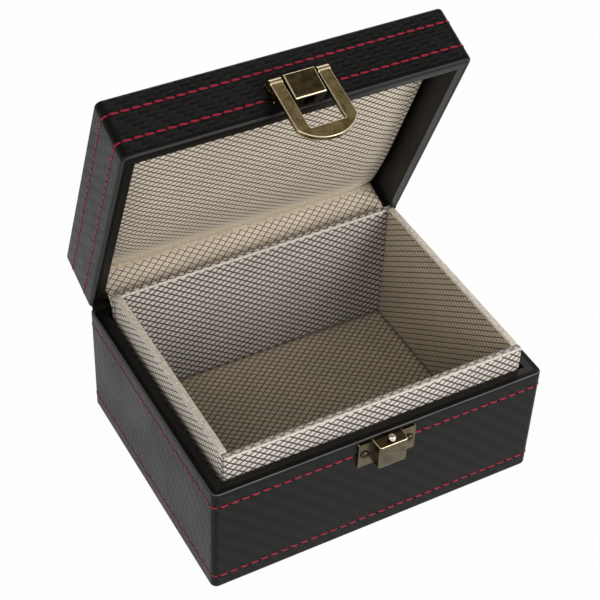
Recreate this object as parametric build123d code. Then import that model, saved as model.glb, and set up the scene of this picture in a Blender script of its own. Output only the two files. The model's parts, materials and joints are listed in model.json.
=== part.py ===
from build123d import *
import math
import os

# Faraday key box, in millimetres. The origin is the middle of the underside, +X is to the right seen
# from the front, +Y is to the back and +Z is up. The lid's pieces are laid out closed and then turned open.

# overall sizes
WIDTH = 130.0
DEPTH = 101.2
BASE_TOP = 48.3
SEAM = 0.2
LID_HEIGHT = 22.9
UNDERSIDE = 0.4

# walls: leather cover outside, board in the middle, smooth lining inside
WALL = 5.0
COVER = 0.7
LINING = 0.5
LINING_EDGE_R = 0.4
RIM_TURN = 2.2
UNDER_TURN = 12.0
CORNER_R = 2.5
BOTTOM_R = 1.2
BASE_RIM_R = 0.7
LID_RIM_R = 1.3
LID_TOP_R = 1.2
FLOOR_BOARD = 2.5
LID_BOARD = 4.3
FELT_INSET = 6.0

# stitching
STITCH_INSET = 6.2
THREAD_R = 0.28
GROOVE_DEPTH = THREAD_R + 0.02
GROOVE_HALF = THREAD_R + 0.12
THREAD_CLEAR = 0.5

# liner tray
LINER_WALL = 2.7
LINER_FABRIC = 0.35
LINER_SIDE_GAP = 1.6
LINER_END_GAP = 0.4
LINER_LID_CLEAR = 1.1
LINER_BACK_LOWER = 1.2
LINER_EDGE_R = 1.2
LINER_CORNER_R = 1.2
LINER_FLOOR_CARD = 1.0

# padded panel in the lid
PAD_CARD = 1.0
PAD_FOAM = 5.9
PAD_FABRIC = 0.4
PAD_GAP = 0.3
PAD_EDGE_R = 2.2

# hinges and how far the lid stands open
LID_OPEN_DEG = 68.3
KNUCKLE_R = 1.2
LEAF = 0.6
LEAF_WIDTH = 20.0
LEAF_LENGTH = 10.4
LEAF_CORNER_R = 1.5
HINGE_X = 38.0
KNUCKLE_MID = 7.0
KNUCKLE_GAP = 0.15
HINGE_PIN_R = 0.65
NOTCH_CLEAR = 0.4
LEAF_CLEAR = 0.3

# screws
SCREW_R = 0.8
SCREW_TIP_CLEAR = 0.1
SCREW_HEAD_R = 1.6
SCREW_HEAD_H = 0.8
SCREW_SLOT = 0.4
SCREW_HOLE_CLEAR = 0.15
PILOT_CLEAR = 0.02
HINGE_SCREW_X = 6.0
HINGE_SCREW_END = 4.0
PIN_CLEAR = 0.05

# latch: centre line, catch on the base
LATCH_X = 0.65
SHEET = 0.8
PLATE_CORNER_R = 0.4
BLOCK_WIDTH = 11.5
CATCH_EAR = 5.45
CATCH_LOW = 12.3
CATCH_HIGH = 1.3
BUMP_FRONT = 5.2
BUMP_TAPER = 0.6
BUMP_OVER_BLOCK = 0.2
BUMP_LOW = 11.1
BUMP_HIGH = 1.1
BUMP_R = 0.9
BUMP_EDGE_R = 0.3
CATCH_SCREW_END = 2.4
CATCH_SCREW_DROP = 6.4
STUD_R = 1.5
STUD_RISE = 1.1
STUD_OUT = 3.3
STUD_SHANK_R = 0.6
STUD_RIVET_R = 0.95
STUD_RIVET_H = 0.4

# latch: hasp body on the lid and its loop
BLOCK_OUT = 6.3
BLOCK_LOW = 0.2
BLOCK_HEIGHT = 10.0
BLOCK_R = 0.5
SOCKET_CLEAR = 0.5
SOCKET_DEPTH = 3.2
HASP_PLATE = 1.0
HASP_EAR = 4.75
HASP_PLATE_LOW = 4.3
HASP_PLATE_HEIGHT = 7.4
HASP_SCREW_END = 2.0
HASP_SCREW_UP = 7.9
PIN_R = 0.75
PIN_END = 0.2
PIN_OUT = 4.3
PIN_UP = 8.9
LOOP_BAR = 4.45
WINDOW_CLEAR = 0.75
WINDOW_R = 0.4
LATCH_CLEAR = 0.5
LOOP_CORNER_RISE = 0.4
LOOP_TIP = 5.4
LOOP_BACK = 0.5
LOOP_FRONT = 1.3
LOOP_EDGE_R = 0.35
LOOP_KNUCKLE_R = 1.6
LOOP_CLEAR = 0.25

# fabric strip over the hinge
STRIP_SEAT = 0.08
STRIP_END = 0.4
STRIP_CLEAR = 0.12
STRIP_TUCK = 4.5

# places that follow from the sizes above
HALF_X = WIDTH / 2
HALF_Y = DEPTH / 2
LID_RIM = BASE_TOP + SEAM
LID_TOP = LID_RIM + LID_HEIGHT
BOARD_BOTTOM = UNDERSIDE + COVER
FLOOR_TOP = BOARD_BOTTOM + FLOOR_BOARD
INNER_X = HALF_X - WALL
INNER_Y = HALF_Y - WALL
BOARD_X = INNER_X + LINING
BOARD_Y = INNER_Y + LINING
LID_BOARD_TOP = LID_TOP - COVER
LID_BOARD_LOW = LID_BOARD_TOP - LID_BOARD
PAD_LOW = LID_BOARD_LOW - PAD_CARD - PAD_FOAM - PAD_FABRIC
LINER_X = INNER_X - LINER_SIDE_GAP
LINER_Y = INNER_Y - LINER_END_GAP
LINER_TOP = PAD_LOW - LINER_LID_CLEAR
HINGE_Y = HALF_Y + LEAF - KNUCKLE_R
HINGE_Z = BASE_TOP + SEAM / 2
PIN_Y = -HALF_Y - PIN_OUT
PIN_Z = LID_RIM + PIN_UP
CATCH_SCREW_Z = BASE_TOP - CATCH_SCREW_DROP
HASP_SCREW_Z = LID_RIM + HASP_SCREW_UP
HINGE_SCREW_DROP = LEAF_LENGTH - HINGE_SCREW_END
SCREW_LENGTH = LEAF + WALL - LINING - SCREW_TIP_CLEAR
BUMP_ROOT_WIDTH = BLOCK_WIDTH + BUMP_OVER_BLOCK
BUMP_WIDTH = BUMP_ROOT_WIDTH - BUMP_TAPER
CATCH_WIDTH = BUMP_ROOT_WIDTH + 2 * CATCH_EAR
CATCH_SCREW_X = CATCH_WIDTH / 2 - CATCH_SCREW_END
HASP_PLATE_WIDTH = BLOCK_WIDTH + 2 * HASP_EAR
HASP_SCREW_X = HASP_PLATE_WIDTH / 2 - HASP_SCREW_END
SOCKET = 2 * (STUD_R + SOCKET_CLEAR)
WINDOW_WIDTH = BUMP_ROOT_WIDTH + 2 * WINDOW_CLEAR
LOOP_WIDTH = WINDOW_WIDTH + 2 * LOOP_BAR
PIN_LENGTH = LOOP_WIDTH + 2 * PIN_END
WINDOW_DROP = PIN_UP + SEAM + BUMP_LOW + LATCH_CLEAR
LOOP_CORNER_DROP = WINDOW_DROP - LOOP_CORNER_RISE
LOOP_TIP_DROP = WINDOW_DROP + LOOP_TIP
STRIP = LINER_END_GAP - 2 * STRIP_SEAT
STRIP_HALF = LINER_X - STRIP_END
# the loop hangs just far enough out for its bar to pass the catch when the lid is closed
LOOP_TILT_DEG = math.degrees(math.asin((BUMP_FRONT + LOOP_CLEAR - PIN_OUT + LOOP_BACK) / WINDOW_DROP))


def span(x0, x1, y0, y1, z0, z1):
    """A box between two corners."""
    middle = Pos((x0 + x1) / 2, (y0 + y1) / 2, (z0 + z1) / 2)
    return middle * Box(abs(x1 - x0), abs(y1 - y0), abs(z1 - z0))


def centred(half_x, half_y, z0, z1):
    """A box centred on the Z axis."""
    return span(-half_x, half_x, -half_y, half_y, z0, z1)


def rounded(half_x, half_y, z0, z1, corner, low_r=0.0, high_r=0.0):
    """A box centred on the Z axis with round upright corners and, where asked, round ends."""
    body = centred(half_x, half_y, z0, z1)
    body = fillet(body.edges().filter_by(Axis.Z), corner)
    if low_r:
        body = fillet(body.edges().group_by(Axis.Z)[0], low_r)
    if high_r:
        body = fillet(body.edges().group_by(Axis.Z)[-1], high_r)
    return body


def inside(radius):
    """The board's radius under a rounded edge of the cover, down to a sharp edge."""
    return max(0.0, radius - COVER)


def front_edges(shape, axis):
    """The two edges of a shape's front face that lie furthest apart along an axis."""
    groups = shape.faces().sort_by(Axis.Y)[0].edges().group_by(axis)
    return groups[0] + groups[-1]


def rod_x(x0, x1, y, z, radius):
    """A round bar along X."""
    return Pos((x0 + x1) / 2, y, z) * Rot(0, 90, 0) * Cylinder(radius, abs(x1 - x0))


def rod_y(x, y0, y1, z, radius):
    """A round bar along Y."""
    return Pos(x, (y0 + y1) / 2, z) * Rot(90, 0, 0) * Cylinder(radius, abs(y1 - y0))


def opened(shape):
    """Turn a closed lid piece open about the hinge line."""
    hinge = Pos(0, HINGE_Y, HINGE_Z)
    return hinge * Rot(-LID_OPEN_DEG, 0, 0) * hinge.inverse() * shape


def opened_point(y, z):
    """Where a point of the closed lid, given by Y and Z, lies once the lid is open."""
    moved = opened(Vertex(0, y, z)).center()
    return moved.Y, moved.Z


def tilted(shape):
    """Swing the hasp loop outward about its pin, on the closed lid."""
    pin = Pos(0, PIN_Y, PIN_Z)
    return pin * Rot(-LOOP_TILT_DEG, 0, 0) * pin.inverse() * shape


def screw(x, face, z, out):
    """A slotted screw whose head sits on the face at y=face; out is -1 for the front and 1 for the back."""
    head = rod_y(x, face, face + out * SCREW_HEAD_H, z, SCREW_HEAD_R)
    head = fillet(head.edges().sort_by(Axis.Y)[-1 if out > 0 else 0], 0.7 * SCREW_HEAD_H)
    shank = rod_y(x, face, face - out * SCREW_LENGTH, z, SCREW_R)
    top = face + out * SCREW_HEAD_H
    half = SCREW_SLOT / 2
    slot = span(x - SCREW_HEAD_R, x + SCREW_HEAD_R, top - out * SCREW_HEAD_H / 2, top, z - half, z + half)
    return head + shank - slot


def pilot(x, face, z, out):
    """The hole that a screw makes in what lies under its plate."""
    return rod_y(x, face + out, face - out * (SCREW_LENGTH + PILOT_CLEAR), z, SCREW_R + PILOT_CLEAR)


def latch_sides(offset):
    """The two X places at one distance either side of the latch's centre line."""
    return (LATCH_X - offset, LATCH_X + offset)


def hinge_sides(offset):
    """The X places at one distance either side of each hinge's middle."""
    return [side * HINGE_X + step for side in (-1, 1) for step in (-offset, offset)]


# screws, as (x, face, z, out), by what they hold
CATCH_SCREWS = [(x, -HALF_Y - SHEET, CATCH_SCREW_Z, -1) for x in latch_sides(CATCH_SCREW_X)]
HASP_SCREWS = [(x, -HALF_Y - HASP_PLATE, HASP_SCREW_Z, -1) for x in latch_sides(HASP_SCREW_X)]
BASE_HINGE_SCREWS = [(x, HALF_Y + LEAF, HINGE_Z - HINGE_SCREW_DROP, 1) for x in hinge_sides(HINGE_SCREW_X)]
LID_HINGE_SCREWS = [(x, HALF_Y + LEAF, HINGE_Z + HINGE_SCREW_DROP, 1) for x in hinge_sides(HINGE_SCREW_X)]


def screws(places):
    """A group of separate screws."""
    return Part() + [screw(*place) for place in places]


def pilots(places):
    """The holes of a group of screws."""
    return [pilot(*place) for place in places]


def hinge_notches():
    """Room for the hinge barrels in the back edges of base and lid."""
    reach = KNUCKLE_R + NOTCH_CLEAR
    half = LEAF_WIDTH / 2 + NOTCH_CLEAR
    y0 = HINGE_Y - reach
    notch = span(-half, half, y0, HALF_Y + WALL, HINGE_Z - reach, HINGE_Z + reach)
    return [Pos(side * HINGE_X, 0, 0) * notch for side in (-1, 1)]


def stitch_groove(z):
    """A shallow channel round the cover for one row of stitches."""
    around = rounded(HALF_X + 1, HALF_Y + 1, z - GROOVE_HALF, z + GROOVE_HALF, CORNER_R)
    inner_r = CORNER_R - GROOVE_DEPTH
    core = rounded(HALF_X - GROOVE_DEPTH, HALF_Y - GROOVE_DEPTH, z - 1, z + 1, inner_r)
    return around - core


def thread_row(z, gaps):
    """One row of thread round the cover, left out where metal plates cover it."""
    path = Pos(0, 0, z) * RectangleRounded(WIDTH, DEPTH, CORNER_R)
    start = Plane(origin=(0, -HALF_Y, z), z_dir=(1, 0, 0))
    row = sweep(start * Circle(THREAD_R), path=path.wire())
    for gap in gaps:
        row -= gap
    return row


def walls_of(ring):
    """Cut a ring of board into front, back, left and right, with butt joints."""
    far = WIDTH
    front = ring & span(-far, far, -far, -BOARD_Y, -far, far)
    back = ring & span(-far, far, BOARD_Y, far, -far, far)
    left = ring & span(-far, 0, -BOARD_Y, BOARD_Y, -far, far)
    right = ring & span(0, far, -BOARD_Y, BOARD_Y, -far, far)
    return {"front": front, "back": back, "left": left, "right": right}


def plate_gap(x_half, face_side, z0, z1, x_mid):
    """The stretch of a stitch row that a metal plate hides."""
    y0 = 0 if face_side > 0 else -HALF_Y - WALL
    half = x_half + THREAD_CLEAR
    return span(x_mid - half, x_mid + half, y0, y0 + HALF_Y + WALL, z0, z1)


def hinge_gaps():
    """The stretches of stitching under the hinge leaves."""
    return [plate_gap(LEAF_WIDTH / 2, 1, 0, LID_TOP, side * HINGE_X) for side in (-1, 1)]


def base_pieces():
    board = rounded(
        HALF_X - COVER,
        HALF_Y - COVER,
        BOARD_BOTTOM,
        BASE_TOP - LINING,
        inside(CORNER_R),
        inside(BOTTOM_R),
        inside(BASE_RIM_R),
    )
    cover = rounded(HALF_X, HALF_Y, UNDERSIDE, BASE_TOP, CORNER_R, BOTTOM_R, BASE_RIM_R) - board
    cover -= centred(HALF_X - RIM_TURN, HALF_Y - RIM_TURN, BASE_TOP - 2 * LINING, BASE_TOP + 1)
    cover -= centred(HALF_X - UNDER_TURN, HALF_Y - UNDER_TURN, UNDERSIDE - 1, BOARD_BOTTOM)
    rows = {
        "base_stitching_upper": BASE_TOP - STITCH_INSET,
        "base_stitching_lower": STITCH_INSET + UNDERSIDE,
    }
    for z in rows.values():
        cover -= stitch_groove(z)

    lining = centred(HALF_X - RIM_TURN, HALF_Y - RIM_TURN, BASE_TOP - LINING, BASE_TOP)
    lining += centred(BOARD_X, BOARD_Y, FLOOR_TOP, BASE_TOP)
    lining -= centred(INNER_X, INNER_Y, UNDERSIDE, BASE_TOP + 1)
    lining = fillet(lining.faces().sort_by(Axis.Z)[-1].inner_wires()[0].edges(), LINING_EDGE_R)

    ring = board - centred(BOARD_X, BOARD_Y, UNDERSIDE, BASE_TOP)
    cuts = hinge_notches() + pilots(CATCH_SCREWS) + pilots(BASE_HINGE_SCREWS)
    for cut in cuts:
        cover -= cut
        ring -= cut
        lining -= cut

    felt = centred(HALF_X - FELT_INSET, HALF_Y - FELT_INSET, 0, UNDERSIDE)
    felt += centred(HALF_X - UNDER_TURN, HALF_Y - UNDER_TURN, 0, BOARD_BOTTOM)

    catch_gap = plate_gap(CATCH_WIDTH / 2, -1, 0, BASE_TOP, LATCH_X)
    pieces = {f"base_{side}_board": wall for side, wall in walls_of(ring).items()}
    pieces["base_floor_board"] = centred(BOARD_X, BOARD_Y, BOARD_BOTTOM, FLOOR_TOP)
    pieces["base_cover"] = cover
    pieces["base_lining"] = lining
    pieces["base_underside_felt"] = felt
    pieces["base_stitching_upper"] = thread_row(rows["base_stitching_upper"], hinge_gaps() + [catch_gap])
    pieces["base_stitching_lower"] = thread_row(rows["base_stitching_lower"], [])
    return pieces


def liner_panel(name, half, outer, side, along, lower=0.0):
    """A card panel of the tray in its fabric, which covers both faces, the ends and the top edge.

    half is half its length, outer is how far its outer face lies from the middle, side is -1 or 1,
    along is the axis of its length, and lower is how far its top edge stays below the tray's.
    """

    def slab(inset):
        near = side * (outer - LINER_WALL + inset)
        far = side * (outer - inset)
        length = half - inset
        top = LINER_TOP - lower - inset
        if along == Axis.X:
            body = span(-length, length, near, far, FLOOR_TOP, top)
            uprights = body.edges().filter_by(Axis.Z).group_by(Axis.Y)
            body = fillet(uprights[-1 if side > 0 else 0], LINER_CORNER_R - inset)
        else:
            body = span(near, far, -length, length, FLOOR_TOP, top)
        ridge = body.edges().group_by(Axis.Z)[-1].filter_by(along)
        return fillet(ridge, LINER_EDGE_R - inset)

    card = slab(LINER_FABRIC)
    return {f"liner_{name}_card": card, f"liner_{name}_fabric": slab(0) - card}


def liner_pieces():
    inner_x = LINER_X - LINER_WALL
    inner_y = LINER_Y - LINER_WALL
    z0 = FLOOR_TOP
    pieces = {}
    pieces.update(liner_panel("front", LINER_X, LINER_Y, -1, Axis.X))
    pieces.update(liner_panel("back", LINER_X, LINER_Y, 1, Axis.X, LINER_BACK_LOWER))
    pieces.update(liner_panel("left", inner_y, LINER_X, -1, Axis.Y))
    pieces.update(liner_panel("right", inner_y, LINER_X, 1, Axis.Y))
    card_top = z0 + LINER_FLOOR_CARD
    card = centred(inner_x - LINER_FABRIC, inner_y - LINER_FABRIC, z0, card_top)
    fabric = centred(inner_x, inner_y, z0, card_top + LINER_FABRIC) - card
    pieces["liner_floor_card"] = card
    pieces["liner_floor_fabric"] = fabric
    return pieces


def catch_pieces():
    face = -HALF_Y
    z0 = BASE_TOP - CATCH_LOW
    z1 = BASE_TOP - CATCH_HIGH
    half = CATCH_WIDTH / 2
    plate = span(LATCH_X - half, LATCH_X + half, face - SHEET, face, z0, z1)
    plate = fillet(plate.edges().filter_by(Axis.Y), PLATE_CORNER_R)
    b0 = BASE_TOP - BUMP_LOW
    b1 = BASE_TOP - BUMP_HIGH

    def bump(inset):
        """The raised middle of the catch, or its hollow when inset is the sheet's thickness."""
        root = BUMP_ROOT_WIDTH / 2 - inset
        tip = BUMP_WIDTH / 2 - inset
        outline = Polyline(
            (LATCH_X - root, face),
            (LATCH_X - tip, face - BUMP_FRONT + inset),
            (LATCH_X + tip, face - BUMP_FRONT + inset),
            (LATCH_X + root, face),
            close=True,
        )
        body = Pos(0, 0, b0 + inset) * extrude(make_face(outline), b1 - b0 - 2 * inset)
        body = fillet(front_edges(body, Axis.X), BUMP_R - inset / 2)
        if not inset:
            body = fillet(front_edges(body, Axis.Z), BUMP_EDGE_R)
        return body

    plate = plate + bump(0) - bump(SHEET)
    stud_y = face - STUD_OUT
    web_low = b1 - SHEET
    plate -= Pos(LATCH_X, stud_y, b1) * Cylinder(STUD_SHANK_R + PIN_CLEAR, 4 * SHEET)
    for x, _, z, _ in CATCH_SCREWS:
        plate -= rod_y(x, face - 2 * SHEET, face + SHEET, z, SCREW_R + SCREW_HOLE_CLEAR)

    ball = Pos(LATCH_X, stud_y, b1 + STUD_RISE) * Sphere(STUD_R)
    ball &= span(LATCH_X - 5, LATCH_X + 5, stud_y - 5, stud_y + 5, b1, b1 + 5)
    rivet_top = web_low - PIN_CLEAR
    shank = Pos(LATCH_X, stud_y, (b1 + rivet_top) / 2) * Cylinder(STUD_SHANK_R, b1 - rivet_top)
    rivet = Pos(LATCH_X, stud_y, rivet_top - STUD_RIVET_H / 2) * Cylinder(STUD_RIVET_R, STUD_RIVET_H)
    return {
        "catch_plate": plate,
        "catch_stud": ball + shank + rivet,
        "catch_screws": screws(CATCH_SCREWS),
    }


def lid_pieces():
    board = rounded(
        HALF_X - COVER,
        HALF_Y - COVER,
        LID_RIM + LINING,
        LID_BOARD_TOP,
        inside(CORNER_R),
        inside(LID_RIM_R),
        inside(LID_TOP_R),
    )
    cover = rounded(HALF_X, HALF_Y, LID_RIM, LID_TOP, CORNER_R, LID_RIM_R, LID_TOP_R) - board
    cover -= centred(HALF_X - RIM_TURN, HALF_Y - RIM_TURN, LID_RIM - 1, LID_RIM + 2 * LINING)
    rows = {
        "lid_stitching_upper": LID_TOP - STITCH_INSET,
        "lid_stitching_lower": LID_RIM + STITCH_INSET,
    }
    for z in rows.values():
        cover -= stitch_groove(z)

    lining = centred(HALF_X - RIM_TURN, HALF_Y - RIM_TURN, LID_RIM, LID_RIM + LINING)
    lining += centred(BOARD_X, BOARD_Y, LID_RIM, LID_BOARD_LOW)
    lining -= centred(INNER_X, INNER_Y, LID_RIM - 1, LID_TOP)
    lining = fillet(lining.faces().sort_by(Axis.Z)[0].inner_wires()[0].edges(), LINING_EDGE_R)

    ring = board - centred(BOARD_X, BOARD_Y, LID_RIM, LID_TOP)
    cuts = hinge_notches() + pilots(HASP_SCREWS) + pilots(LID_HINGE_SCREWS)
    for cut in cuts:
        cover -= cut
        ring -= cut
        lining -= cut

    pad_x = INNER_X - PAD_GAP
    pad_y = INNER_Y - PAD_GAP
    foam_r = PAD_EDGE_R - PAD_FABRIC
    card_low = LID_BOARD_LOW - PAD_CARD
    core = rounded(pad_x - PAD_FABRIC, pad_y - PAD_FABRIC, PAD_LOW + PAD_FABRIC, card_low, foam_r, foam_r)
    card = rounded(pad_x - PAD_FABRIC, pad_y - PAD_FABRIC, card_low, LID_BOARD_LOW, foam_r)
    sleeve = rounded(pad_x, pad_y, PAD_LOW, LID_BOARD_LOW, PAD_EDGE_R, PAD_EDGE_R - 0.1) - core - card

    hasp_gap = plate_gap(HASP_PLATE_WIDTH / 2, -1, LID_RIM, LID_TOP, LATCH_X)
    pieces = {f"lid_{side}_board": wall for side, wall in walls_of(ring).items()}
    pieces["lid_top_board"] = centred(BOARD_X, BOARD_Y, LID_BOARD_LOW, LID_BOARD_TOP)
    pieces["lid_cover"] = cover
    pieces["lid_lining"] = lining
    pieces["lid_pad_card"] = card
    pieces["lid_pad_foam"] = core
    pieces["lid_pad_fabric"] = sleeve
    pieces["lid_stitching_upper"] = thread_row(rows["lid_stitching_upper"], [])
    pieces["lid_stitching_lower"] = thread_row(rows["lid_stitching_lower"], hinge_gaps() + [hasp_gap])
    return pieces


def hasp_pieces():
    face = -HALF_Y
    half = BLOCK_WIDTH / 2
    z0 = LID_RIM + BLOCK_LOW
    z1 = z0 + BLOCK_HEIGHT
    block = span(LATCH_X - half, LATCH_X + half, face - BLOCK_OUT, face, z0, z1)
    block = fillet(block.faces().sort_by(Axis.Y)[0].edges(), BLOCK_R)
    plate_half = HASP_PLATE_WIDTH / 2
    p0 = LID_RIM + HASP_PLATE_LOW
    p1 = p0 + HASP_PLATE_HEIGHT
    plate = span(LATCH_X - plate_half, LATCH_X + plate_half, face - HASP_PLATE, face, p0, p1)
    plate = fillet(plate.edges().filter_by(Axis.Y), PLATE_CORNER_R)
    socket_y = face - STUD_OUT
    side = SOCKET / 2
    body = block + plate
    body -= span(LATCH_X - side, LATCH_X + side, socket_y - side, socket_y + side, z0 - 1, z0 + SOCKET_DEPTH)
    body -= rod_x(LATCH_X - half - 1, LATCH_X + half + 1, PIN_Y, PIN_Z, PIN_R + PIN_CLEAR)
    for x, _, z, _ in HASP_SCREWS:
        body -= rod_y(x, face - 2 * HASP_PLATE, face + HASP_PLATE, z, SCREW_R + SCREW_HOLE_CLEAR)
    pin = rod_x(LATCH_X - PIN_LENGTH / 2, LATCH_X + PIN_LENGTH / 2, PIN_Y, PIN_Z, PIN_R)
    pin = fillet(pin.edges().filter_by(GeomType.CIRCLE), PIN_R / 2)
    return {
        "hasp_body": body,
        "hasp_pin": pin,
        "hasp_screws": screws(HASP_SCREWS),
    }


def hasp_loop():
    """The swinging loop, hanging straight down from its pin before it is tilted."""
    half = LOOP_WIDTH / 2
    window = WINDOW_WIDTH / 2
    corner_z = PIN_Z - LOOP_CORNER_DROP
    tip_z = PIN_Z - LOOP_TIP_DROP
    outline = [
        Line((-half, PIN_Z), (-half, corner_z)),
        ThreePointArc((-half, corner_z), (0, tip_z), (half, corner_z)),
        Line((half, corner_z), (half, PIN_Z)),
        Line((half, PIN_Z), (-half, PIN_Z)),
    ]
    sheet = make_face(Curve() + outline)
    opening_high = PIN_Z + LOOP_KNUCKLE_R
    opening = Pos(0, (opening_high + PIN_Z - WINDOW_DROP) / 2) * Rectangle(
        WINDOW_WIDTH, opening_high - PIN_Z + WINDOW_DROP
    )
    opening = fillet(opening.vertices().group_by(Axis.Y)[0], WINDOW_R)
    stand = Plane(origin=(LATCH_X, PIN_Y + LOOP_BACK, 0), x_dir=(1, 0, 0), z_dir=(0, -1, 0))
    loop = extrude(stand * (sheet - opening), LOOP_BACK + LOOP_FRONT)
    loop = fillet(loop.faces().sort_by(Axis.Y)[0].edges().group_by(Axis.Z)[:-1], LOOP_EDGE_R)
    for side in (-1, 1):
        x0 = LATCH_X + side * window
        x1 = LATCH_X + side * half
        loop += rod_x(x0, x1, PIN_Y, PIN_Z, LOOP_KNUCKLE_R)
    loop -= rod_x(LATCH_X - half - 1, LATCH_X + half + 1, PIN_Y, PIN_Z, PIN_R + PIN_CLEAR)
    return loop


def hinge_leaf(x, up, outer_knuckles):
    """A butt hinge leaf on the back wall; up is 1 on the lid and -1 on the base."""
    half = LEAF_WIDTH / 2
    y0 = HALF_Y
    y1 = HALF_Y + LEAF
    near = HINGE_Z + up * (KNUCKLE_R + LEAF_CLEAR)
    far = HINGE_Z + up * LEAF_LENGTH
    leaf = span(x - half, x + half, y0, y1, near, far)
    far_edges = leaf.edges().filter_by(Axis.Y).group_by(Axis.Z)[-1 if up > 0 else 0]
    leaf = fillet(far_edges, LEAF_CORNER_R)
    middle = KNUCKLE_MID / 2
    ends = [(-middle, middle)]
    if outer_knuckles:
        ends = [(-half, -middle - KNUCKLE_GAP), (middle + KNUCKLE_GAP, half)]
    for a, b in ends:
        leaf += span(x + a, x + b, y0, y1, HINGE_Z, near)
        leaf += rod_x(x + a, x + b, HINGE_Y, HINGE_Z, KNUCKLE_R)
    leaf -= rod_x(x - half - 1, x + half + 1, HINGE_Y, HINGE_Z, HINGE_PIN_R + PIN_CLEAR)
    for step in (-HINGE_SCREW_X, HINGE_SCREW_X):
        hole_z = HINGE_Z + up * HINGE_SCREW_DROP
        leaf -= rod_y(x + step, y0 - 1, y1 + 1, hole_z, SCREW_R + SCREW_HOLE_CLEAR)
    return leaf


def hinge_pieces():
    """Both hinges: pieces that stay with the base, and pieces that turn with the lid."""
    fixed = {}
    turning = {}
    for name, side in (("left", -1), ("right", 1)):
        x = side * HINGE_X
        fixed[f"hinge_{name}_base_leaf"] = hinge_leaf(x, -1, False)
        turning[f"hinge_{name}_lid_leaf"] = hinge_leaf(x, 1, True)
        half = LEAF_WIDTH / 2
        pin = rod_x(x - half, x + half, HINGE_Y, HINGE_Z, HINGE_PIN_R)
        fixed[f"hinge_{name}_pin"] = fillet(pin.edges().filter_by(GeomType.CIRCLE), HINGE_PIN_R / 2)
    fixed["hinge_base_screws"] = screws(BASE_HINGE_SCREWS)
    turning["hinge_lid_screws"] = screws(LID_HINGE_SCREWS)
    return fixed, turning


def hinge_strip():
    """Fabric from the lid's inner back wall down behind the liner, as it lies with the lid open."""
    offset = STRIP_CLEAR + STRIP / 2
    high = opened_point(INNER_Y - offset, PAD_LOW - PAD_GAP)
    edge = opened_point(INNER_Y - offset, LID_RIM - STRIP_CLEAR)
    tuck_y = (LINER_Y + INNER_Y) / 2
    tuck_high = (tuck_y, BASE_TOP + offset)
    tuck_low = (tuck_y, BASE_TOP - STRIP_TUCK)
    route = Polyline(high, edge, tuck_high, tuck_low)
    band = trace(route, STRIP)
    return Pos(-STRIP_HALF, 0, 0) * extrude(Plane.YZ * band, 2 * STRIP_HALF)


def all_pieces():
    """Every piece at rest, by name."""
    fixed_hinge, turning_hinge = hinge_pieces()
    pieces = {}
    pieces.update(base_pieces())
    pieces.update(liner_pieces())
    pieces.update(catch_pieces())
    pieces.update(fixed_hinge)
    closed_lid = {}
    closed_lid.update(lid_pieces())
    closed_lid.update(hasp_pieces())
    closed_lid.update(turning_hinge)
    closed_lid["hasp_loop"] = tilted(hasp_loop())
    pieces.update({name: opened(shape) for name, shape in closed_lid.items()})
    pieces["hinge_strip"] = hinge_strip()
    return pieces


os.makedirs("parts", exist_ok=True)
for name, shape in all_pieces().items():
    export_step(shape, f"parts/{name}.step")
pin_y, pin_z = opened_point(PIN_Y, PIN_Z)
print(f"loop pin at y {pin_y:.3f} z {pin_z:.3f}, hinge line at y {HINGE_Y:.3f} z {HINGE_Z:.3f}")
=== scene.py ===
import json
import math

import bmesh
import bpy
import numpy as np
from mathutils import Matrix, Vector, noise


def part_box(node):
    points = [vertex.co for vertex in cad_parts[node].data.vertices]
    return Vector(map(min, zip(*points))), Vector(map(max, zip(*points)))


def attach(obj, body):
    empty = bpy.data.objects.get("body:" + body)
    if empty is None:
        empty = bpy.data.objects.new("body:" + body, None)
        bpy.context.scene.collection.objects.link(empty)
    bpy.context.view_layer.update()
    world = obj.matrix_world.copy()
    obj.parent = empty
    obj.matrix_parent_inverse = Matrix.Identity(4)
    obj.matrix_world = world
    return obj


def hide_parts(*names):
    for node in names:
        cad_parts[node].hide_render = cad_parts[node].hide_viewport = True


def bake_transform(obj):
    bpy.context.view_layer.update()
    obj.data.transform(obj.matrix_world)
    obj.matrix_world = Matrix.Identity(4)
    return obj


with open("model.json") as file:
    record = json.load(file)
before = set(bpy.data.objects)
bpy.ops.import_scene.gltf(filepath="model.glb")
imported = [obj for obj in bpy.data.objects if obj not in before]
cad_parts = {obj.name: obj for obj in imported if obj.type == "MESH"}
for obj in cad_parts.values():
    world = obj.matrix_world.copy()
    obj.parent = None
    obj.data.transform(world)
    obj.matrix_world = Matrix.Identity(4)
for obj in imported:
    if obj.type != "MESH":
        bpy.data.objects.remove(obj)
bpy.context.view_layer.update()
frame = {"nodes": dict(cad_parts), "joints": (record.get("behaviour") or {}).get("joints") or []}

MM = 0.001
TINY = 1e-6
ROUNDING = 1e-9
NODES = frame["nodes"]
HINGE = next(j for j in frame["joints"] if j["name"] == "lid_hinge")
HINGE_AT = Vector(HINGE["pos_m"])
LID_OPEN = math.radians(-HINGE["range_deg"][0])

# sizes of the closed box, read from the frame; the corner radius is the cover's
HALF_X, HALF_Y, BASE_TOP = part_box("base_cover")[1]
LID_RIM = 2 * HINGE_AT.z - BASE_TOP
COVER_CORNER_R = 2.5 * MM

# the turn from the closed lid to the lid as it stands open, and the way back
LID_TURN = Matrix.Rotation(-LID_OPEN, 4, "X")
LID_PLACE = Matrix.Translation(HINGE_AT) @ LID_TURN @ Matrix.Translation(-HINGE_AT)
LID_BACK = LID_PLACE.inverted()


def closed_box(node):
    """The corners of a lid node with the lid closed."""
    points = np.array([LID_BACK @ v.co for v in NODES[node].data.vertices])
    return Vector(points.min(0)), Vector(points.max(0))


LID_TOP = closed_box("lid_cover")[1].z


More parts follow.
